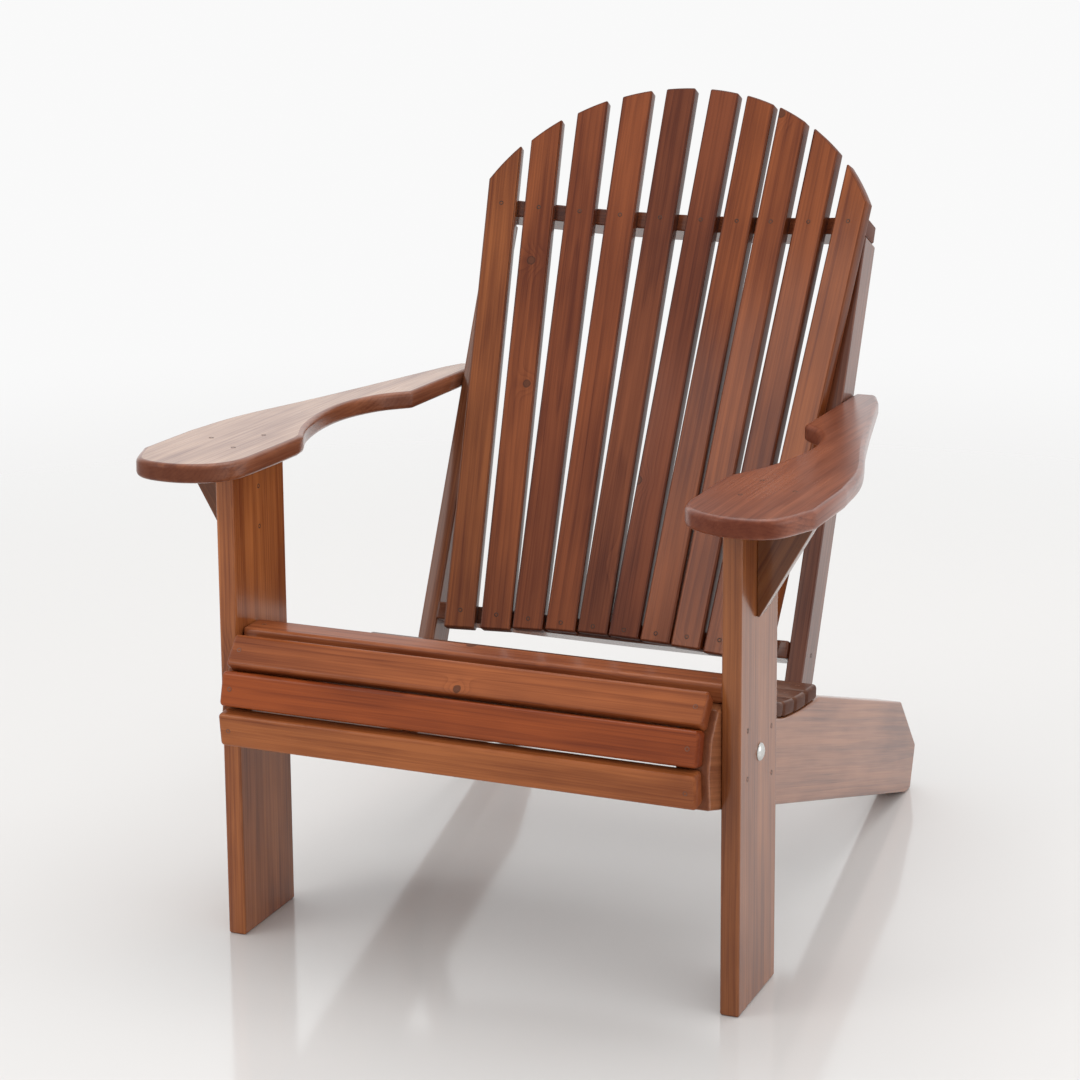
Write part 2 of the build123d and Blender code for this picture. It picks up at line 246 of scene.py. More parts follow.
# Growth rings are cylinders round the pith: phase = distance from the pith over the ring width.
# Noise bends the pith line, and each knot pushes the rings aside by a bell-shaped bulge.
def varnishedPine(name, coat, coatRoughness, roughness):
    material, tree, shader, output = newMaterial(name)
    grain = attribute(tree, "grain", "Vector")
    tint = attribute(tree, "tint", "Color")
    endFace = attribute(tree, "endFace", "Fac")
    arris = attribute(tree, "arris", "Fac")
    along, across, through = grain.parts()
    noise = {key: grain.noise(*recipe) for key, recipe in pineNoise.items()}
    patterns = {key: wave - 0.5 for key, wave in noise.items()}

    grid = {0: along * pine["knotCells"], 1: across * pine["knotCells"], 2: 0.0}
    flat = Wire(tree, grain.node("ShaderNodeCombineXYZ", None, grid).outputs[0])
    settings = {"voronoi_dimensions": "2D"}
    cells = grain.node("ShaderNodeTexVoronoi", settings, {"Vector": flat, "Scale": 1.0})
    away = Wire(tree, cells.outputs["Distance"]) / pine["knotCells"]
    away = away + patterns["wobble"] * pine["knotWobble"]
    draw, sizeDraw, unused = Wire(tree, cells.outputs["Color"]).parts("ShaderNodeSeparateColor")
    holds = draw.below(pine["knotShare"])
    reach = away / (pine["knotSize"][0] + pine["knotSize"][1] * sizeDraw)
    knot = holds * (1.0 - reach.ramp(pine["knotRadius"] * pine["knotFeather"], pine["knotRadius"]))
    rim = holds * (reach - pine["knotRadius"]).bell(pine["knotRim"])
    bulge = holds * reach.bell(pine["bulgeWidth"]) * pine["bulge"]

    wide = across + patterns["drift"] * pine["ringWander"][0]
    deep = through + patterns["sway"] * pine["ringWander"][1]
    fromPith = (wide * wide + deep * deep).root()
    phase = (fromPith + bulge) / pine["ringWidth"] + patterns["jitter"] * pine["ringJitter"]
    turn = phase.fraction()
    late = turn ** pine["lateSharp"] * (1.0 - turn.ramp(pine["lateEnd"], 1.0))
    patterns.update(late=late, knot=knot, rim=rim, endFace=endFace)

    darkWood = tint.stained(pine["darkWood"])
    lightWood = tint.stained(pine["lightWood"])
    colour = weighted(pineShadeBase, patterns, pineShade).kept().blend(lightWood, darkWood)
    knotTurn = (away / pine["knotRing"]).fraction()
    between, onLine = pine["knotLines"]
    knotColour = (knotTurn * knotTurn * onLine + between).blend(pine["knotPale"], pine["knotDark"])
    colour = (knot * pineCover["knot"]).blend(colour, knotColour)
    colour = (rim * pineCover["rim"]).blend(colour, pine["rimColour"])
    colour = (endFace * pineCover["endFace"]).blend(colour, darkWood)
    # edges lightened: partly wear where varnish is rubbed off, partly a painted highlight along the
    # rounded edges
    wornAndHighlit = arris * noise["wear"].ramp(*pine["wearFrom"])
    colour = (wornAndHighlit * pineCover["wornAndHighlit"]).blend(colour, lightWood)
    gather = (1.0 - arris) * noise["blotch"].ramp(*pine["gatherFrom"])
    colour = (gather * pineCover["gather"]).blend(colour, darkWood)

    bump = grain.node("ShaderNodeBump", None, {
        "Height": weighted(0.0, patterns, pineRelief),
        "Strength": pine["bumpStrength"],
        "Distance": pine["bumpDistance"],
    })
    feed(tree, shader, {
        "Base Color": colour,
        "Roughness": weighted(roughness, patterns, pineGloss).kept(),
        "Normal": Wire(tree, bump.outputs[0]),
        "Coat Weight": (coat - endFace * (coat * pine["endCoat"])).kept(),
        "Coat Roughness": coatRoughness,
        "Coat IOR": pine["coatIor"],
        "Specular IOR Level": pine["woodSheen"],
        "IOR": pine["woodIor"],
    })
    return material


steel = {
    "blotchWaves": (160.0, 160.0, 160.0),
    "scratchWaves": (300.0, 2600.0, 2600.0),
    "stainEdge": (-0.12, 0.10),     # how softly a stain starts and ends
    "stainDulls": 0.5,              # share of the metal that a stain takes away
    "stainRoughens": 0.25,
    "scratchRoughens": 0.2,
    "relief": (0.6, 0.4),           # of the scratches and of the blotches
    "bumpStrength": 0.25,
    "bumpDistance": 0.0003,
}


# Plated or filled heads: fine scratches in the gloss, and stains where the blotch noise is high.
def platedSteel(name, colour, stain, roughness, stainShare, metallic):
    material, tree, shader, output = newMaterial(name)
    place = objectPlace(tree)
    blotch = place.noise(steel["blotchWaves"], 4.0, 0.6)
    scratch = place.noise(steel["scratchWaves"], 2.0, 0.6)
    low, high = (1.0 - stainShare + edge for edge in steel["stainEdge"])
    mask = blotch.ramp(low, high).kept()
    rough = roughness + (scratch - 0.5) * steel["scratchRoughens"] + mask * steel["stainRoughens"]
    bump = place.node("ShaderNodeBump", None, {
        "Height": scratch * steel["relief"][0] + blotch * steel["relief"][1],
        "Strength": steel["bumpStrength"],
        "Distance": steel["bumpDistance"],
    })
    feed(tree, shader, {
        "Base Color": mask.blend(colour, stain),
        "Metallic": metallic - mask * (metallic * steel["stainDulls"]),
        "Roughness": rough.kept(),
        "Normal": Wire(tree, bump.outputs[0]),
    })
    return material


# name, then the coat, the coat's roughness and the wood's roughness
varnish = {
    "slats": varnishedPine("varnished_pine_slats", 0.50, 0.12, 0.42),
    "frame": varnishedPine("varnished_pine_frame", 0.90, 0.16, 0.36),
    "arms": varnishedPine("varnished_pine_arms", 1.0, 0.26, 0.30),
}
boltSteel = platedSteel(
    "zinc_bolt_steel", (0.62, 0.62, 0.60, 1), (0.33, 0.30, 0.26, 1),
    roughness=0.24, stainShare=0.30, metallic=1.0,
)
screwSteel = platedSteel(
    "varnished_screw_steel", (0.060, 0.026, 0.014, 1), (0.020, 0.009, 0.005, 1),
    roughness=0.50, stainShare=0.45, metallic=0.4,
)
screwFiller = platedSteel(
    "varnished_screw_filler", (0.150, 0.048, 0.020, 1), (0.090, 0.028, 0.012, 1),
    roughness=0.42, stainShare=0.40, metallic=0.0,
)
print("materials made")


def unit(vectors):
    vectors = np.asarray(vectors, float)
    return vectors / np.linalg.norm(vectors, axis=-1, keepdims=True)


# Each corner with a radius becomes an arc tangent to both its sides: the centre stands on the
# corner's bisector, radius over sin(half angle) away. A radius of 0 keeps the point.
def easeCorners(points, radii, steps=6):
    points = np.asarray(points, float)
    radii = np.broadcast_to(np.asarray(radii, float), len(points))
    toBefore = np.roll(points, 1, 0) - points
    toAfter = np.roll(points, -1, 0) - points
    shortest = np.minimum(np.linalg.norm(toBefore, axis=1), np.linalg.norm(toAfter, axis=1))
    a, b = unit(toBefore), unit(toAfter)
    half = 0.5 * np.arccos(np.clip((a * b).sum(1), -0.999999, 1.0))
    reach = np.minimum(radii / np.tan(half), 0.49 * shortest)     # under half of the shorter side
    radius = reach * np.tan(half)
    bisector = unit(a + b + tiny)
    centre = points + bisector * (radius / np.sin(half))[:, None]
    start = points + a * reach[:, None] - centre
    end = points + b * reach[:, None] - centre
    share = np.linspace(0, 1, steps)[None, :, None]
    spoke = start[:, None] * (1 - share) + end[:, None] * share
    length = np.maximum(np.linalg.norm(spoke, axis=2, keepdims=True), tiny)
    arcs = centre[:, None] + spoke / length * radius[:, None, None]
    arcs[radii == 0] = points[radii == 0][:, None]
    wanted = (radii > 0)[:, None] | (np.arange(steps) == 0)[None, :]
    owner = np.repeat(np.arange(len(points)), np.where(radii > 0, steps, 1))
    return arcs[wanted], owner


# Outward normals at the corners of a closed line, and the same made longer by one over the cosine
# of half the turn, so that an inset keeps the sides parallel. The least cosine stops long spikes.
def cornerNormals(points, leastCosine=0.45):
    forward = unit(np.roll(points, -1, 0) - points)
    square = np.stack([forward[:, 1], -forward[:, 0]], 1)
    outward = unit(square + np.roll(square, 1, 0))
    return outward, outward / np.maximum((outward * square).sum(1), leastCosine)[:, None]


# A smooth line through points: Hermite cubics, each tangent being half the chord between the
# neighbours on either side.
def smoothLine(points, steps):
    points = np.asarray(points, float)
    padded = np.vstack([2 * points[0] - points[1], points, 2 * points[-1] - points[-2]])
    tangent = (padded[2:] - padded[:-2]) / 2
    t = np.linspace(0, 1, steps, endpoint=False)[None, :, None]
    leaving = (2 * t**3 - 3 * t**2 + 1) * points[:-1, None] + (t**3 - 2 * t**2 + t) * tangent[:-1, None]
    arriving = (3 * t**2 - 2 * t**3) * points[1:, None] + (t**3 - t**2) * tangent[1:, None]
    return np.vstack([(leaving + arriving).reshape(-1, 2), points[-1:]])


# Four-sided faces between neighbouring rings, given as rows of vertex numbers.
def ringFaces(index):
    low, high = index[:-1], index[1:]
    quads = np.stack([low, np.roll(low, -1, 1), np.roll(high, -1, 1), high], -1)
    return quads.reshape(-1, 4)


markKinds = {1: ("FLOAT", "value"), 3: ("FLOAT_VECTOR", "vector"), 4: ("FLOAT_COLOR", "color")}


def finishPiece(name, verts, faces, smooth, marks, material, node):
    mesh = bpy.data.meshes.new(name)
    mesh.from_pydata(verts.tolist(), [], faces)
    mesh.polygons.foreach_set("use_smooth", smooth)
    for key, values in marks.items():
        kind, field = markKinds[values.size // len(verts)]
        layer = mesh.attributes.new(key, kind, "POINT")
        layer.data.foreach_set(field, values.astype(np.float32).ravel())
    mesh.materials.append(material)
    mesh.update()
    piece = bpy.data.objects.new(name, mesh)
    bpy.context.scene.collection.objects.link(piece)
    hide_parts(node)
    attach(piece, "root")
    return piece


boards = {
    "edgeSteps": 5,
    "lip": 0.0004,              # from the rounding to the flat face's own points
    "cornerSpare": 0.0003,      # a corner is rounder than the edge by at least this
    "logLength": 40,            # along the log, a board's place is drawn up to this far either way
    "pithShift": (0.012, 0.008),
    "endFrom": 0.35,            # how square to the grain a face is before it counts as end grain
    "endOver": 0.5,
}


# A board: its outline is carried through the thickness, drawn in at both faces by
# edge * (1 - sin a) while it rises by edge * (1 - cos a), a quarter circle. Each flat face has one
# point for each corner of the outline, a little inside the rounding.
def plank(name, corners, radii, thickness, place, lengthwise, look):
    origin, uAxis, vAxis = (np.asarray(item, float) for item in place)
    wAxis = np.cross(uAxis, vAxis)
    edge = look["edge"]
    corners = np.asarray(corners, float)
    radii = np.broadcast_to(radii, len(corners))
    x, y = corners.T
    if (x * np.roll(y, -1) - np.roll(x, -1) * y).sum() < 0:      # runs clockwise
        corners, radii = corners[::-1], radii[::-1]
    easing = np.where(radii > 0, np.maximum(radii, edge + boards["cornerSpare"]), 0)
    outline, owner = easeCorners(corners, easing)
    outward, mitre = cornerNormals(outline)

    angle = np.linspace(0, math.pi / 2, look.get("edgeSteps", boards["edgeSteps"]))
    inset = edge * (1 - np.sin(angle))
    rise = edge * (1 - np.cos(angle))
    insets = np.r_[inset, inset[::-1]]
    rises = np.r_[rise, thickness - rise[::-1]]
    tilt = np.r_[np.sin(angle), np.sin(angle)[::-1]]
    # weight of the lightened edge, both wear and painted highlight, greatest midway round the rounding
    wornAndHighlit = np.r_[np.sin(2 * angle), np.sin(2 * angle)[::-1]]

    flat = outline[None] - mitre[None] * insets[:, None, None]
    verts = origin + flat[..., :1] * uAxis + flat[..., 1:] * vAxis + rises[:, None, None] * wAxis
    rings, count = verts.shape[:2]
    inner = corners - cornerNormals(corners)[1] * (edge + look.get("lip", boards["lip"]))
    face = origin + inner[:, :1] * uAxis + inner[:, 1:] * vAxis
    verts = np.vstack([verts.reshape(-1, 3), face, face + wAxis * thickness])
    index = np.arange(rings * count).reshape(rings, count)
    faces = ringFaces(index).tolist()
    turning = owner == np.roll(owner, -1)
    bottomCap = rings * count + np.arange(len(corners))
    topCap = bottomCap + len(corners)
    for ring, cap, way in ((index[0], bottomCap, -1), (index[-1], topCap, 1)):
        inside, ahead, nextInside = cap[owner], np.roll(ring, -1), cap[np.roll(owner, -1)]
        faces += np.stack([ring, ahead, inside], 1)[turning][:, ::way].tolist()
        faces += np.stack([ring, ahead, nextInside, inside], 1)[~turning][:, ::way].tolist()
    smooth = [True] * len(faces) + [False, False]
    faces += [bottomCap[::-1].tolist(), topCap.tolist()]

    lengthwise = unit(lengthwise)
    thickAxis = unit(wAxis - lengthwise * (wAxis @ lengthwise))
    wideAxis = np.cross(thickAxis, lengthwise)
    fromMiddle = verts - verts.mean(0)
    log, (wideShift, thickShift) = boards["logLength"], boards["pithShift"]
    grain = np.stack([
        fromMiddle @ lengthwise + rng.uniform(-log, log),
        fromMiddle @ wideAxis + look["pith"][0] + rng.uniform(-wideShift, wideShift),
        fromMiddle @ thickAxis + look["pith"][1] + rng.uniform(-thickShift, thickShift),
    ], 1)
    onFaces = np.zeros(2 * len(corners))
    facing = np.abs((outward[:, :1] * uAxis + outward[:, 1:] * vAxis) @ lengthwise)
    square = (tilt[:, None] * facing[None] - boards["endFrom"]) / boards["endOver"]
    tint = np.tile(np.r_[look["tint"], 1.0], (len(verts), 1))
    tint[rings * count:, :3] = look.get("faceTint", look["tint"])
    marks = {
        "grain": grain,
        "endFace": np.r_[np.clip(square, 0, 1).ravel(), onFaces],
        "arris": np.r_[np.repeat(wornAndHighlit, count), onFaces],
        "tint": tint,
    }
    finishPiece(name, verts, faces, smooth, marks, look["varnish"], name)


shape = {
    "armTop": 0.584,            # height of the arms' top face above the legs' front edges
    "armFall": 0.0225,          # fall per metre of run to the rear
    "lean": math.radians(25.9),
    "backFoot": (0.3987, 0.2845),   # where the plane of the outer slats' faces starts
    "backHalf": 0.234,          # half span over which the back is hollowed
    "hollowLow": 0.016,         # depth of the hollow at the foot
    "hollowHigh": 0.028,        # and at the upper rail
    "upperRail": 0.543,         # distances up the slope of the back
    "lowerRail": 0.003,
    "noseTop": 0.352,
}
sideways = np.array([1.0, 0, 0])
upSlope = np.array([0, math.sin(shape["lean"]), math.cos(shape["lean"])])
intoBack = np.array([0, math.cos(shape["lean"]), -math.sin(shape["lean"])])
backOrigin = np.array([0, legFront + shape["backFoot"][0], shape["backFoot"][1]])
armTilt = unit([0, shape["armFall"], 1])
armRun = unit([0, 1, -shape["armFall"]])


# Height of an arm's top face at a distance behind the legs' front edges.
def armHeight(y):
    return shape["armTop"] - shape["armFall"] * y


# Both sides of the chair: the left board is laid out with x turned round.
def bothSides(name, outline, thickness, innerX, look, lengthwise, tints):
    for side, word, tint in ((1, "right", tints[0]), (-1, "left", tints[1])):
        place = ((side * innerX, legFront, 0), (0, side, 0), (0, 0, 1))
        mirrored = outline * np.array([side, 1])
        corner = look["corner"]
        plank(f"{name}_{word}", mirrored, corner, thickness, place, lengthwise, dict(look, tint=tint))


legs = {
    "innerX": 0.294,
    "depth": 0.127,
    "edge": 0.0028,
    "corner": 0.002,
    "pith": (0.022, 0.055),
    "tints": ((0.242, 0.078, 0.0250), (0.330, 0.105, 0.0320)),
    "varnish": varnish["frame"],
    "slot": "leg_wood",
}
underArm = board * math.hypot(1, shape["armFall"])
legOutline = np.array([
    (0, 0),
    (legs["depth"], 0),
    (legs["depth"], armHeight(legs["depth"]) - underArm),
    (0, armHeight(0) - underArm),
])
bothSides("front_leg", legOutline, board, legs["innerX"], legs, (0, 0, 1), legs["tints"])
print("legs made")

rails = {
    "innerX": 0.256,
    "thick": 0.038,
    "drop": 0.3115,             # fall per metre of run, along the underside
    "bottomAtFront": 0.237,
    "scoop": ((0.054, 0.352), (0.110, 0.323), (0.197, 0.280), (0.273, 0.263), (0.364, 0.254)),
    "scoopSteps": 10,
    "rear": ((0.727, 0.136), (0.800, 0.055), (0.778, 0.0)),
    "edge": 0.003,
    "easedCorner": 0.002,
    "pith": (0.035, 0.07),
    "tints": ((0.264, 0.096, 0.0425), (0.264, 0.093, 0.0375)),
    "varnish": varnish["frame"],
    "slot": "side_rail_wood",
}
# where the middle of each front slat sits on the nose, and which way its width runs
noseFacets = {
    "front_slat_lower": ((-0.0387, 0.2767), unit((-5, 40))),
    "front_slat_middle": ((-0.0332, 0.3163), unit((10, 38))),
    "front_slat_upper": ((-0.0123, 0.3467), unit((26, 30))),
}


# Two lines, each a point and a direction, meet where both offsets agree.
def crossing(first, second):
    (p, d), (q, e) = first, second
    along = ((q[0] - p[0]) * e[1] - (q[1] - p[1]) * e[0]) / (d[0] * e[1] - d[1] * e[0])
    return np.array(p) + along * np.array(d)


lowerFacet, middleFacet, upperFacet = noseFacets.values()
underside = ((0, rails["bottomAtFront"]), unit((1, -rails["drop"])))
crown = ((0, shape["noseTop"]), (1, 0))
footStart = (rails["bottomAtFront"] / rails["drop"], 0)
noseCorners = [
    crossing(underside, lowerFacet),
    crossing(lowerFacet, middleFacet),
    crossing(middleFacet, upperFacet),
    crossing(upperFacet, crown),
]
scoopLine = smoothLine(rails["scoop"], rails["scoopSteps"])
railOutline = np.vstack([footStart, noseCorners, scoopLine, rails["rear"]])
onScoop = slice(1 + len(noseCorners), 1 + len(noseCorners) + len(scoopLine))
rails["corner"] = np.full(len(railOutline), rails["easedCorner"])
rails["corner"][onScoop] = 0
railRun = (0, 1, -rails["drop"])
bothSides("side_rail", railOutline, rails["thick"], rails["innerX"], rails, railRun, rails["tints"])
print("side rails made")

crossSlats = {
    "frontHalf": 0.287,
    "seatHalf": 0.2935,
    "seatThick": 0.018,         # the foremost is as thick as the front slats
    "width": 0.040,
    "edge": 0.0046,
    "edgeSteps": 6,
    "corner": 0.003,
    "pith": (0.02, 0.04),
    "varnish": varnish["slats"],
    "frontTints": ((0.310, 0.094, 0.0300), (0.245, 0.050, 0.0110), (0.275, 0.077, 0.0250)),
    # painted shade: the seat slats darken from front to back, deeper in the seat
    "seatTints": (
        (0.290, 0.088, 0.0340), (0.220, 0.066, 0.0250), (0.180, 0.060, 0.0280),
        (0.130, 0.052, 0.0300),         # the fourth and all behind it, darkest: painted shade deep in the seat
    ),
    "seatCount": 8,
    "firstSeat": 0.013,         # front edge of the foremost
    "seatGap": 0.0095,          # gap behind the foremost
    "seatClear": 0.0007,        # a flat slat bridges the hollow of the scoop by this much
    "lastSeat": 0.014,          # the last slat stops short of the scoop's end
    "walkSteps": 60,
    "slopeSpan": 0.002,         # the scoop's slope is taken over this much on either side
}


# A slat lies across the chair on its inner face: the width runs along the given direction.
def crossSlat(name, middle, direction, half, thick, look):
    width = crossSlats["width"] / 2
    outline = [(-half, -width), (half, -width), (half, width), (-half, width)]
    origin = (0, legFront + middle[0], middle[1])
    across = (0, direction[0], direction[1])
    plank(name, outline, look["corner"], thick, (origin, sideways, across), sideways, look)


for (name, (middle, direction)), tint in zip(noseFacets.items(), crossSlats["frontTints"]):
    look = dict(crossSlats, tint=tint, slot="front_slat_wood")
    crossSlat(name, middle, direction, crossSlats["frontHalf"], board, look)

scoop = smoothLine(rails["scoop"], crossSlats["walkSteps"])
walked = np.r_[0, np.cumsum(np.linalg.norm(np.diff(scoop, axis=0), axis=1))]


# The point of the scoop that lies this far along it.
def onScoopLine(distance):
    return np.stack([np.interp(distance, walked, scoop[:, axis]) for axis in (0, 1)], 1)


halfSlat = crossSlats["width"] / 2
flatEnd = rails["scoop"][0][0] - crossSlats["firstSeat"] - crossSlats["width"]
firstStop = halfSlat + crossSlats["seatGap"] - flatEnd
lastStop = walked[-1] - halfSlat - crossSlats["lastSeat"]
stops = np.linspace(firstStop, lastStop, crossSlats["seatCount"] - 1)
span = crossSlats["slopeSpan"]
slopes = unit(onScoopLine(stops + span) - onScoopLine(stops - span))
lifted = onScoopLine(stops) + np.stack([-slopes[:, 1], slopes[:, 0]], 1) * crossSlats["seatClear"]
seatMiddles = np.vstack([(crossSlats["firstSeat"] + halfSlat, shape["noseTop"]), lifted])
seatSlopes = np.vstack([(1, 0), slopes])
seatThicks = [board] + [crossSlats["seatThick"]] * (crossSlats["seatCount"] - 1)
for place, (middle, direction, thick) in enumerate(zip(seatMiddles, seatSlopes, seatThicks)):
    tint = crossSlats["seatTints"][min(place, len(crossSlats["seatTints"]) - 1)]
    look = dict(crossSlats, tint=tint, slot="seat_slat_wood")
    crossSlat(f"seat_slat_{place + 1}", middle, direction, crossSlats["seatHalf"], thick, look)
print("seat and front slats made")

backSlats = {
    "count": 10,
    "width": 0.0395,
    "thick": 0.018,
    "footPitch": 0.0426,
    "headPitch": 0.0523,
    "footShift": (-0.0033, 0.0019, 0.0013, 0.0019, 0.0018, 0.0002, -0.0001, -0.0016, -0.0008, 0.0001),
    "headShift": (0.0025, -0.0008, 0.0008, 0.0027, 0.0044, 0.0074, 0.0045, -0.0010, -0.0015, 0.0007),
    "foot": 0.006,
    "archCentre": 0.4435,
    "archRadius": 0.290,
    "archSteps": 9,
    "edge": 0.0022,
    "corner": 0.002,
    "pith": (0.018, 0.045),
    "varnish": varnish["slats"],
    "slot": "back_slat_wood",
    "tints": (
        (0.225, 0.066, 0.020), (0.205, 0.054, 0.017), (0.190, 0.048, 0.016), (0.185, 0.046, 0.015),
        (0.165, 0.044, 0.017), (0.150, 0.036, 0.013), (0.200, 0.050, 0.014), (0.215, 0.055, 0.016),
        (0.195, 0.049, 0.014), (0.240, 0.064, 0.017),
    ),
    "paintedSideShade": (0.62, 0.58, 0.58),    # painted shade: the sides and edges are darker than the faces
}


# The back is a hollow: its depth fades with the square of the distance from the middle.
def hollow(x, up):
    deepening = (shape["hollowHigh"] - shape["hollowLow"]) * up / shape["upperRail"]
    return (shape["hollowLow"] + deepening) * (1 - (x / shape["backHalf"]) ** 2)


# A point of the slats' faces: across, then up the slope, then in by the depth of the hollow.
def backPoint(x, up):
    return backOrigin + sideways * x + upSlope * up + intoBack * hollow(x, up)


# Foot, width and length of a slat: it turns with the hollow, whose slope at x is
# -2 * depth * x over the half span squared.
def slatPlace(number):
    fromMiddle = number - (backSlats["count"] - 1) / 2
    footX = fromMiddle * backSlats["footPitch"] + backSlats["footShift"][number]
    headX = fromMiddle * backSlats["headPitch"] + backSlats["headShift"][number]
    foot, head = backPoint(footX, 0), backPoint(headX, shape["upperRail"])
    along = unit(head - foot)
    depth = hollow(0, shape["upperRail"] / 2)
    across = sideways - intoBack * (depth * (headX + footX) / shape["backHalf"] ** 2)
    across = unit(across - along * (across @ along))
    return foot, across, along


# The arch is a circle about a point on the back's middle line, seen in each slat's own plane.
for number in range(backSlats["count"]):
    foot, across, along = slatPlace(number)
    start = backOrigin + intoBack * hollow(foot[0], 0)
    local = np.array([(start - foot) @ across, (start - foot) @ along])
    up = unit(np.array([upSlope @ across, upSlope @ along]))
    centre = local + up * backSlats["archCentre"]
    half = backSlats["width"] / 2
    crest = np.linspace(half, -half, backSlats["archSteps"])
    height = centre[1] + np.sqrt(backSlats["archRadius"] ** 2 - (crest - centre[0]) ** 2)
    arch = np.stack([crest, height], 1)
    bottom = local[1] + backSlats["foot"] * up[1]
    corners = np.vstack([(-half, bottom), (half, bottom), arch])
    easing = np.full(len(corners), backSlats["corner"])
    easing[3:-1] = 0                    # the arch between its two ends
    face = np.array(backSlats["tints"][number])
    # painted shade: the sides and rounded edges take the face colour darkened by the painted side shade
    look = dict(backSlats, tint=face * backSlats["paintedSideShade"], faceTint=face)
    place = (foot - np.cross(across, along) * backSlats["thick"], across, along)
    plank(f"back_slat_{number + 1}", corners, easing, backSlats["thick"], place, along, look)
print("back slats made")

backFrame = {
    "postInner": 0.234,
    "postFront": 0.0223,
    "postDepth": 0.048,
    "footClear": 0.008,         # the posts stop this far above the rails' underside
    "edge": 0.0024,
    "corner": 0.002,
    "railEdge": 0.0022,
    "railCorner": 0.0025,
    "railStart": 0.0172,
    "railDepth": 0.046,
    "railHeight": 0.022,
    "railSteps": 41,
    "upperHalf": 0.257,
    "pith": (0.03, 0.05),
    "varnish": varnish["frame"],
    "slot": "frame_wood",
    "postTints": ((0.145, 0.046, 0.0230), (0.170, 0.055, 0.0230)),
    "railTints": ((0.150, 0.040, 0.0150), (0.105, 0.032, 0.0150)),
}


# Distances up the slope and behind the outer slats' faces, as run from the legs and height.
def sideView(up, behind):
    point = upSlope * up + intoBack * behind
    return shape["backFoot"][0] + point[1], shape["backFoot"][1] + point[2]


# The post's foot is sawn parallel to the rail's underside: walk each long edge down to that line.
sawLine = ((0, rails["bottomAtFront"] + backFrame["footClear"]), unit((1, -rails["drop"])))
slopeWay = upSlope[1:]
postFront = backFrame["postFront"]
postRear = postFront + backFrame["postDepth"]
postOutline = np.array([
    crossing((sideView(0, postFront), slopeWay), sawLine),
    sideView(shape["upperRail"], postFront),
    sideView(shape["upperRail"], postRear),
    crossing((sideView(0, postRear), slopeWay), sawLine),
])
postTints = backFrame["postTints"]
bothSides("back_post", postOutline, board, backFrame["postInner"], backFrame, upSlope, postTints)


# A curved rail: both long edges follow the hollow, behind the slats, and it stands up the slope.
def curvedRail(name, up, half, tint):
    steps = backFrame["railSteps"]
    x = np.linspace(-half, half, steps)
    front = np.stack([x, hollow(x, up) + backFrame["railStart"]], 1)
    rear = front + np.array([0, backFrame["railDepth"]])
    outline = np.vstack([front, rear[::-1]])
    easing = np.zeros(len(outline))
    easing[[0, steps - 1, steps, -1]] = backFrame["railCorner"]
    look = dict(backFrame, edge=backFrame["railEdge"], tint=tint)
    place = (backOrigin + upSlope * up, sideways, intoBack)
    plank(name, outline, easing, backFrame["railHeight"], place, sideways, look)


curvedRail("upper_back_rail", shape["upperRail"], backFrame["upperHalf"], backFrame["railTints"][0])
curvedRail("lower_back_rail", shape["lowerRail"], backFrame["postInner"], backFrame["railTints"][1])
print("back frame made")

arms = {
    "tip": (
        (0.260, 0.112), (0.2605, 0.03), (0.265, -0.036), (0.291, -0.070),
        (0.334, -0.082), (0.377, -0.068), (0.402, -0.012),
    ),
    "flank": ((0.402, 0.092), (0.391, 0.190), (0.357, 0.320), (0.333, 0.420)),
    "tail": ((0.296, 0.585), (0.284, 0.618), (0.256, 0.618)),
    "waist": (
        (0.256, 0.410), (0.285, 0.372), (0.301, 0.315), (0.300, 0.248),
        (0.284, 0.172), (0.260, 0.112),
    ),
    "curveSteps": 8,
    "flankSteps": 10,
    "tailCorner": 0.006,
    "edge": 0.0062,
    "edgeSteps": 7,
    "pith": (0.05, 0.06),
    "varnish": varnish["arms"],
    "slot": "armrest_wood",
    "tints": {"right": (0.210, 0.060, 0.030), "left": (0.210, 0.072, 0.036)},
    # painted sheen: the flat faces are lighter than the edges; the left arm's is much lighter and greyer,
    # a painted reflection
    "sheenTopTints": {"right": (0.230, 0.072, 0.038), "left": (0.400, 0.240, 0.170)},
}
tip = smoothLine(arms["tip"], arms["curveSteps"])[1:]
flank = smoothLine(arms["flank"], arms["flankSteps"])
waist = smoothLine(arms["waist"], arms["curveSteps"])[:-1]
armOutline = np.vstack([tip, flank, arms["tail"], waist])
tailStart = len(tip) + len(flank)
armEasing = np.zeros(len(armOutline))
armEasing[tailStart:tailStart + len(arms["tail"])] = arms["tailCorner"]
topStart = np.array([0, legFront, shape["armTop"]])
for side, word, start in ((1, "right", topStart - armTilt * board), (-1, "left", topStart)):
    look = dict(arms, tint=arms["tints"][word], faceTint=arms["sheenTopTints"][word])
    plank(f"armrest_{word}", armOutline, armEasing, board, (start, (side, 0, 0), armRun), armRun, look)

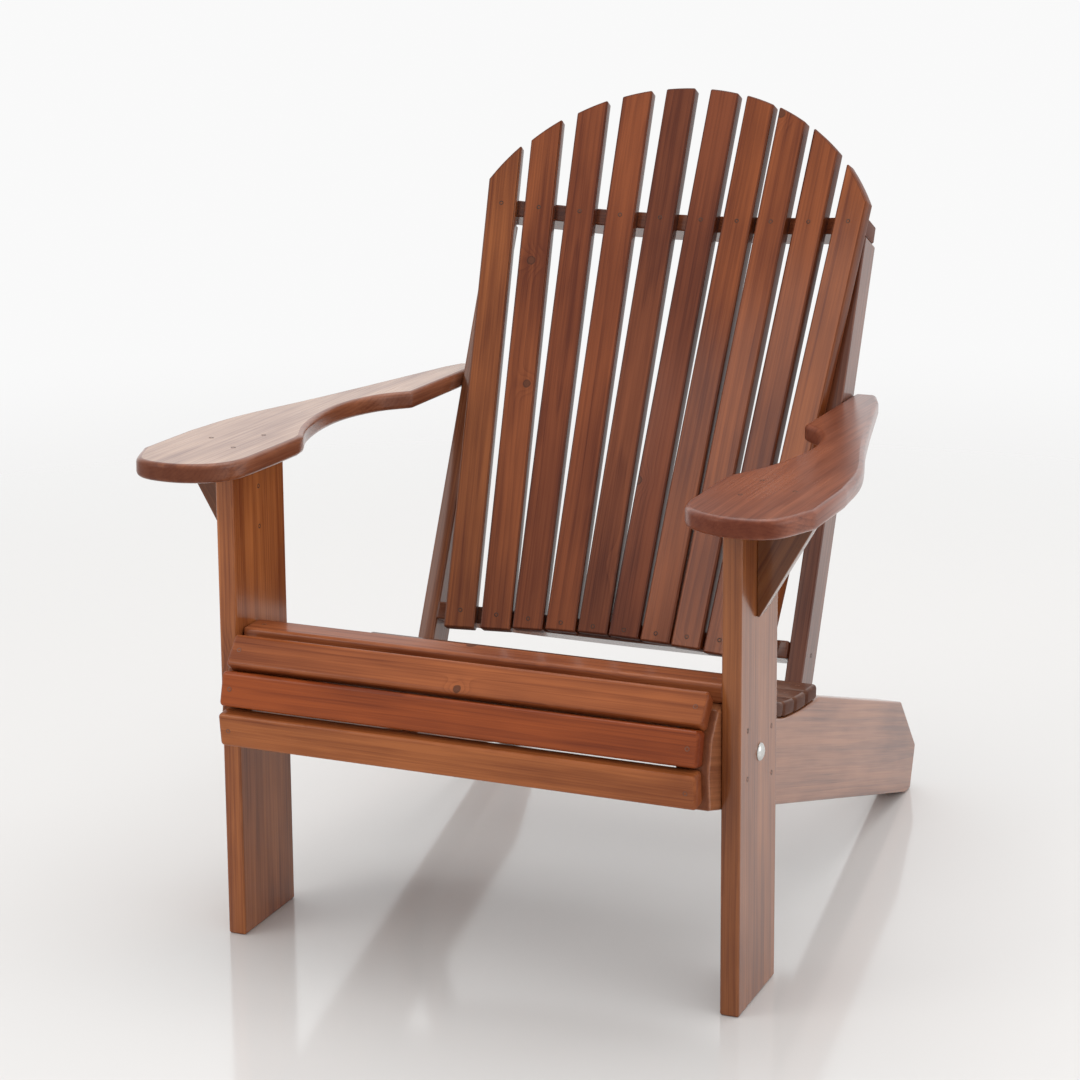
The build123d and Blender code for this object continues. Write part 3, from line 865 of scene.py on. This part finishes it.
brackets = {
    "middle": 0.063,
    "reach": 0.066,
    "drop": 0.118,
    "tip": 0.003,
    "heel": 0.008,
    "clear": 0.0003,            # gap under the arm
    "edge": 0.0010,
    "corner": 0.0012,
    "lip": 0.0002,
    "pith": (0.02, 0.03),
    "varnish": varnish["frame"],
    "slot": "frame_wood",
    "tints": ((0.150, 0.050, 0.0170), (0.130, 0.042, 0.0150)),
}
legOuter = legs["innerX"] + board
bracketTop = armHeight(brackets["middle"]) - underArm - brackets["clear"]
bracketOutline = np.array([
    (legOuter, bracketTop),
    (legOuter + brackets["reach"], bracketTop),
    (legOuter + brackets["reach"], bracketTop - brackets["heel"]),
    (legOuter + brackets["tip"], bracketTop - brackets["drop"]),
    (legOuter, bracketTop - brackets["drop"]),
])
for side, word, tint in ((1, "right", brackets["tints"][0]), (-1, "left", brackets["tints"][1])):
    start = (0, legFront + brackets["middle"] + board / 2, 0)
    slant = unit((side * brackets["reach"], 0, brackets["drop"]))
    outline = bracketOutline * np.array([side, 1])
    place = (start, sideways, (0, 0, 1))
    look = dict(brackets, tint=tint)
    plank(f"arm_bracket_{word}", outline, brackets["corner"], board, place, slant, look)
print("armrests and brackets made")


# A turned piece: radius and height along a profile, carried round the axis. The radius may be
# scaled by a function of the angle, as for a hexagon.
def turned(profile, centre, axis, sides, scale=None):
    axis = unit(axis)
    upright = abs(axis[2]) >= 0.9
    helper = np.array([0, 1.0, 0]) if upright else np.array([0, 0, 1.0])
    right = unit(np.cross(helper, axis))
    up = np.cross(axis, right)
    angle = np.linspace(0, 2 * math.pi, sides, endpoint=False)
    profile = np.asarray(profile, float)
    radius = profile[:, 0][:, None] * (np.ones(sides) if scale is None else scale(angle))[None]
    ring = np.cos(angle)[:, None] * right + np.sin(angle)[:, None] * up
    heights = profile[:, 1][:, None, None] * axis
    verts = np.asarray(centre) + radius[..., None] * ring[None] + heights
    index = np.arange(len(profile) * sides).reshape(len(profile), sides)
    return verts.reshape(-1, 3), ringFaces(index).tolist(), [index[0, ::-1].tolist(), index[-1].tolist()]


# One object from several turned pieces, with edges sharper than the angle left crisp.
def joinTurned(name, pieces, material, angle):
    verts, faces, start = [], [], 0
    for points, quads, caps in pieces:
        verts.append(points)
        faces += [[corner + start for corner in face] for face in quads + caps]
        start += len(points)
    smooth = [True] * len(faces)
    piece = finishPiece(name, np.vstack(verts), faces, smooth, {}, material, name)
    piece.data.set_sharp_from_angle(angle=math.radians(angle))


bolts = {
    "place": (0.067, 0.285),
    "sides": 40,
    "shank": 0.004,
    "length": 0.0731,
    "tip": ((0.0028, 0.0), (0.0037, 0.0011), (0.004, 0.0016)),   # radius, height over the end
    "head": 0.010,
    "seat": 0.0098,             # radius where the head meets the wood
    "rim": (0.0002, 0.0004),    # how far the dome's edge stands out and up
    "dome": 0.0044,
    "domeBend": 1.15,
    "domeSteps": 9,
    "crown": 0.0004,            # radius of the flat on top of the dome
    "hole": 0.0041,
    "washer": 0.012,
    "washerThick": 0.0016,
    "washerEase": (0.0003, 0.0004, 0.0005),
    "nutFlats": 0.0065,
    "nutThick": 0.0065,
    "nutChamfer": (0.0006, 0.0009),
    "nutSides": 60,
    "slot": "bolt_steel",
    "sharp": {"bolt": 40, "washer": 30, "nut": 25},     # degrees over which an edge stays crisp
}


# A hexagon's radius is its half width over the cosine of the angle from the nearest flat.
def hexagon(angle):
    return 1 / np.cos((angle + math.pi / 6) % (math.pi / 3) - math.pi / 6)


# The chamfer's outline lies halfway between the hexagon and the circle inside it.
def chamferOutline(angle):
    return 0.5 + 0.5 * hexagon(angle)


# The dome: radius = head * cos a and height = dome * (sin a) to the power of domeBend.
def boltProfile():
    arc = np.linspace(0, math.pi / 2, bolts["domeSteps"])
    out, up = bolts["rim"]
    domeRadius = bolts["head"] * np.cos(arc) + out
    domeHeight = bolts["dome"] * np.sin(arc) ** bolts["domeBend"] + up
    tipPart = [(radius, height - bolts["length"]) for radius, height in bolts["tip"]]
    neck = [(bolts["shank"], 0.0), (bolts["seat"], 0.0)]
    crownPoint = (bolts["crown"], domeHeight[-1])
    return np.vstack([tipPart, neck, np.stack([domeRadius, domeHeight], 1)[:-1], crownPoint])


# The washer: a flat ring, with its outer edges cut off at a slant.
def washerProfile():
    hole, rim, thick = bolts["hole"], bolts["washer"], bolts["washerThick"]
    outer, back, backSide = bolts["washerEase"]
    inwards = [(hole, 0), (rim - outer, 0), (rim, -outer)]
    outwards = [(rim, -thick + back), (rim - backSide, -thick), (hole, -thick)]
    return (inwards + outwards)[::-1]


for side, word in ((1, "right"), (-1, "left")):
    axis = (side, 0, 0)
    y, z = legFront + bolts["place"][0], bolts["place"][1]
    bolt = turned(boltProfile(), (side * legOuter, y, z), axis, bolts["sides"])
    joinTurned(f"carriage_bolt_{word}", [bolt], boltSteel, bolts["sharp"]["bolt"])
    washer = turned(washerProfile(), (side * rails["innerX"], y, z), axis, bolts["sides"])
    joinTurned(f"bolt_washer_{word}", [washer], boltSteel, bolts["sharp"]["washer"])

    nutSeat = (side * (rails["innerX"] - bolts["washerThick"]), y, z)
    flats, deep = bolts["nutFlats"], bolts["nutThick"]
    inset, rise = bolts["nutChamfer"]
    body = turned([(flats, rise - deep), (flats, 0)], nutSeat, axis, bolts["nutSides"], hexagon)
    chamfer = [(flats - inset, -deep), (flats, rise - deep)]
    cone = turned(chamfer, nutSeat, axis, bolts["nutSides"], chamferOutline)
    joinTurned(f"bolt_nut_{word}", [body, cone], boltSteel, bolts["sharp"]["nut"])
print("bolts made")

screws = {
    "head": 0.0028,
    "sides": 16,
    "sharp": 35,
    # a shallow dish: share of the head's radius, and height above the wood
    "profile": ((0.55, -0.0016), (1.0, -0.0002), (1.0, 0.00014), (0.93, 0.0002), (0.05, -0.0003)),
    "slot": "screw_steel",
    "acrossX": legs["innerX"] - rails["thick"] / 2,     # the slats' screws, in the side rails
    "upRails": {"upper": 0.011, "lower": 0.012},        # above the curved rails' undersides
    "legs": ((0.107, 0.302), (0.109, 0.247), (0.025, 0.322), (0.025, 0.267)),
    "bracketDrops": (0.030, 0.078),
    "armOnLeg": (0.026, 0.100),
    "armOnBracket": 0.038,
    "armOnPost": (0.036, 0.056),        # behind the slats' faces
    "armOnPostDown": 0.008,
    "lowerRailUp": 0.011,
    "upperRailUp": 0.022,
    "intoPost": 0.024,
    "postOnRail": ((-0.060, 0.036), (-0.100, 0.058)),   # up the slope, behind the faces
    "filled": ("front_slat_screws", "seat_slat_screws"),    # heads under filler and varnish
}
screwProfile = np.array(screws["profile"]) * (screws["head"], 1)


def screwHead(point, outward):
    return turned(screwProfile, point, outward, screws["sides"])


def mirroredPair(x, y, z, outward):
    ox, oy, oz = outward
    return [screwHead((side * x, legFront + y, z), (side * ox, oy, oz)) for side in (-1, 1)]


def pairs(places):
    return sum((mirroredPair(*place) for place in places), [])


# The outer face of a slat is its thickness out from its middle, square to its width.
def slatScrew(middle, direction, thick):
    outward = np.array([-direction[1], direction[0]])
    y, z = np.array(middle) + outward * thick
    return screws["acrossX"], y, z, (0, *outward)


# One head for each back slat, where its face passes the rail's screw line.
def backScrews(up):
    heads = []
    for number in range(backSlats["count"]):
        foot, across, along = slatPlace(number)
        heads.append(screwHead(foot + along * (up / (along @ upSlope)), np.cross(across, along)))
    return heads


inwards = (-1, 0, 0)
postInner = backFrame["postInner"]
bracketY = brackets["middle"]
legMiddle = legOuter - board / 2
armPlaces = [(legMiddle, y) for y in screws["armOnLeg"]] + [(legOuter + screws["armOnBracket"], bracketY)]
postPlaces = []
for behind in screws["armOnPost"]:
    rise = shape["armTop"] - board / 2 - shape["backFoot"][1] + behind * math.sin(shape["lean"])
    y, z = sideView(rise / math.cos(shape["lean"]) - screws["armOnPostDown"], behind)
    postPlaces.append((postInner, y, armHeight(y) - board / 2, inwards))
behindPost = backFrame["postFront"] + screws["intoPost"]
lowerY, lowerZ = sideView(shape["lowerRail"] + screws["lowerRailUp"], behindPost)
upperY, upperZ = sideView(shape["upperRail"] + screws["upperRailUp"], behindPost)
groups = {
    "front_slat_screws": pairs(slatScrew(*facet, board) for facet in noseFacets.values()),
    "seat_slat_screws": pairs(slatScrew(*seat) for seat in zip(seatMiddles, seatSlopes, seatThicks)),
    "back_slat_screws_upper": backScrews(shape["upperRail"] + screws["upRails"]["upper"]),
    "back_slat_screws_lower": backScrews(shape["lowerRail"] + screws["upRails"]["lower"]),
    "leg_screws": pairs((legOuter, y, z, (1, 0, 0)) for y, z in screws["legs"]),
    "bracket_screws": pairs(
        (legs["innerX"], bracketY, bracketTop - drop, inwards) for drop in screws["bracketDrops"]
    ),
    "armrest_screws": pairs((x, y, armHeight(y), armTilt) for x, y in armPlaces),
    "armrest_post_screws": pairs(postPlaces),
    "lower_rail_screws": pairs([(postInner + board, lowerY, lowerZ, (1, 0, 0))]),
    "post_screws": pairs((postInner, *sideView(*spot), inwards) for spot in screws["postOnRail"]),
    "upper_rail_screws": pairs([(postInner + board / 2, upperY, upperZ, upSlope)]),
}
for groupName, heads in groups.items():
    finish = screwFiller if groupName in screws["filled"] else screwSteel
    joinTurned(groupName, heads, finish, screws["sharp"])
print("screws made:", sum(len(heads) for heads in groups.values()))

studio = {
    "floorHub": 0.02,           # radius of the innermost ring
    "floorStart": 0.3,
    "floorReach": 14.0,
    "floorRings": 24,
    "floorSpokes": 72,
    "fadeFrom": 1.2,            # the floor fades into the air between these distances
    "fadeTo": 3.4,
    "floorColour": (0.70, 0.69, 0.68, 1),
    "floorRoughness": (0.06, 0.10),     # least, and what the smears add
    "smearWaves": (1.5, 1.5, 1.5),
    "floorIor": 1.65,
    "worldColour": (0.95, 0.95, 0.95, 1),
    "worldStrength": 1.0,
    "aim": (0, 0, 0.45),
    # place, size, power and colour of each soft box
    "lights": {
        "front_left_box": ((-2.6, -2.6, 2.6), (1.8, 1.8), 26, (1.0, 0.97, 0.93)),
        "right_box": ((2.9, -0.2, 1.3), (2.2, 1.8), 16, (1.0, 0.99, 0.98)),
        "top_box": ((0.2, 0.4, 3.2), (2.4, 2.4), 34, (1.0, 1.0, 1.0)),
    },
}


# The floor: radius and angle on a grid, flat, with rings that widen outwards.
def makeFloor():
    rings = np.geomspace(studio["floorStart"], studio["floorReach"], studio["floorRings"])
    radius = np.r_[studio["floorHub"], rings][:, None]
    angle = np.linspace(0, 2 * math.pi, studio["floorSpokes"], endpoint=False)[None]
    verts = np.stack([radius * np.cos(angle), radius * np.sin(angle), 0 * radius * angle], -1)
    index = np.arange(radius.size * angle.size).reshape(radius.size, angle.size)
    faces = ringFaces(index)[:, ::-1].tolist() + [index[0].tolist()]
    mesh = bpy.data.meshes.new("studio_floor")
    mesh.from_pydata(verts.reshape(-1, 3).tolist(), [], faces)
    floor = bpy.data.objects.new("studio_floor", mesh)
    bpy.context.scene.collection.objects.link(floor)

    material, tree, shader, output = newMaterial("pale_studio_floor")
    place = objectPlace(tree)
    length = place.node("ShaderNodeVectorMath", {"operation": "LENGTH"}, {0: place})
    fade = Wire(tree, length.outputs["Value"]).ramp(studio["fadeFrom"], studio["fadeTo"])
    least, smeared = studio["floorRoughness"]
    feed(tree, shader, {
        "Base Color": studio["floorColour"],
        "Roughness": (least + place.noise(studio["smearWaves"], 3.0) * smeared).kept(),
        "IOR": studio["floorIor"],
    })
    clear = tree.nodes.new("ShaderNodeBsdfTransparent")
    mixed = tree.nodes.new("ShaderNodeMixShader")
    tree.links.new(fade.socket, mixed.inputs[0])
    tree.links.new(shader.outputs[0], mixed.inputs[1])
    tree.links.new(clear.outputs[0], mixed.inputs[2])
    tree.links.new(mixed.outputs[0], output.inputs["Surface"])
    mesh.materials.append(material)


# A soft box looks at the aim: tilted by the angle off straight down, then swung to its heading.
def softBox(name, place, size, power, colour):
    data = bpy.data.lights.new(name, "AREA")
    data.shape = "RECTANGLE"
    data.size, data.size_y = size
    data.energy = power
    data.color = colour
    lamp = bpy.data.objects.new(name, data)
    bpy.context.scene.collection.objects.link(lamp)
    lamp.location = place
    away = np.asarray(studio["aim"], float) - np.asarray(place, float)
    tilt = math.acos(-away[2] / np.linalg.norm(away))
    lamp.rotation_mode = "XYZ"
    lamp.rotation_euler = (tilt, 0, math.atan2(away[1], away[0]) - math.pi / 2)


makeFloor()
world = bpy.data.worlds.new("studio_air")
bpy.context.scene.world = world
world.use_nodes = True
world.node_tree.nodes["Background"].inputs["Color"].default_value = studio["worldColour"]
world.node_tree.nodes["Background"].inputs["Strength"].default_value = studio["worldStrength"]
for boxName, recipe in studio["lights"].items():
    softBox(boxName, *recipe)

# The camera: where it stands from the legs' front edge, which way it looks and how it is cut.
camera = {
    "place": (1.2596, -2.8123, 1.3431),
    "yaw": 0.41440,
    "pitch": -0.20820,
    "roll": -0.01140,
    "focal": 2897.35,
    "centreX": 485.4,
    "shiftY": -0.15,
    "frameWidth": 1080,
    "sensor": 36.0,
    "clipEnd": 100,
}


# The camera's own axes: yaw and pitch give the way it looks, and roll turns right and top.
def makeCamera():
    data = bpy.data.cameras.new("camera")
    data.sensor_width = camera["sensor"]
    data.lens = camera["focal"] / camera["frameWidth"] * camera["sensor"]
    data.shift_x = 0.5 - camera["centreX"] / camera["frameWidth"]
    data.shift_y = camera["shiftY"]
    data.clip_end = camera["clipEnd"]
    holder = bpy.data.objects.new("camera", data)
    bpy.context.scene.collection.objects.link(holder)
    x, y, z = camera["place"]
    holder.location = (x, y + legFront, z)
    yaw, pitch, roll = camera["yaw"], camera["pitch"], camera["roll"]
    level = np.array([math.cos(yaw), math.sin(yaw), 0])
    ahead = np.array([-math.sin(yaw), math.cos(yaw), 0])
    forward = ahead * math.cos(pitch) + np.array([0, 0, math.sin(pitch)])
    upward = np.cross(level, forward)
    right = level * math.cos(roll) + upward * math.sin(roll)
    top = -level * math.sin(roll) + upward * math.cos(roll)
    turn = Matrix((tuple(right), tuple(top), tuple(-forward))).transposed()
    holder.rotation_mode = "QUATERNION"
    holder.rotation_quaternion = turn.to_quaternion()
    bpy.context.scene.camera = holder


makeCamera()
bpy.context.scene.view_settings.view_transform = "Standard"
print("studio made")
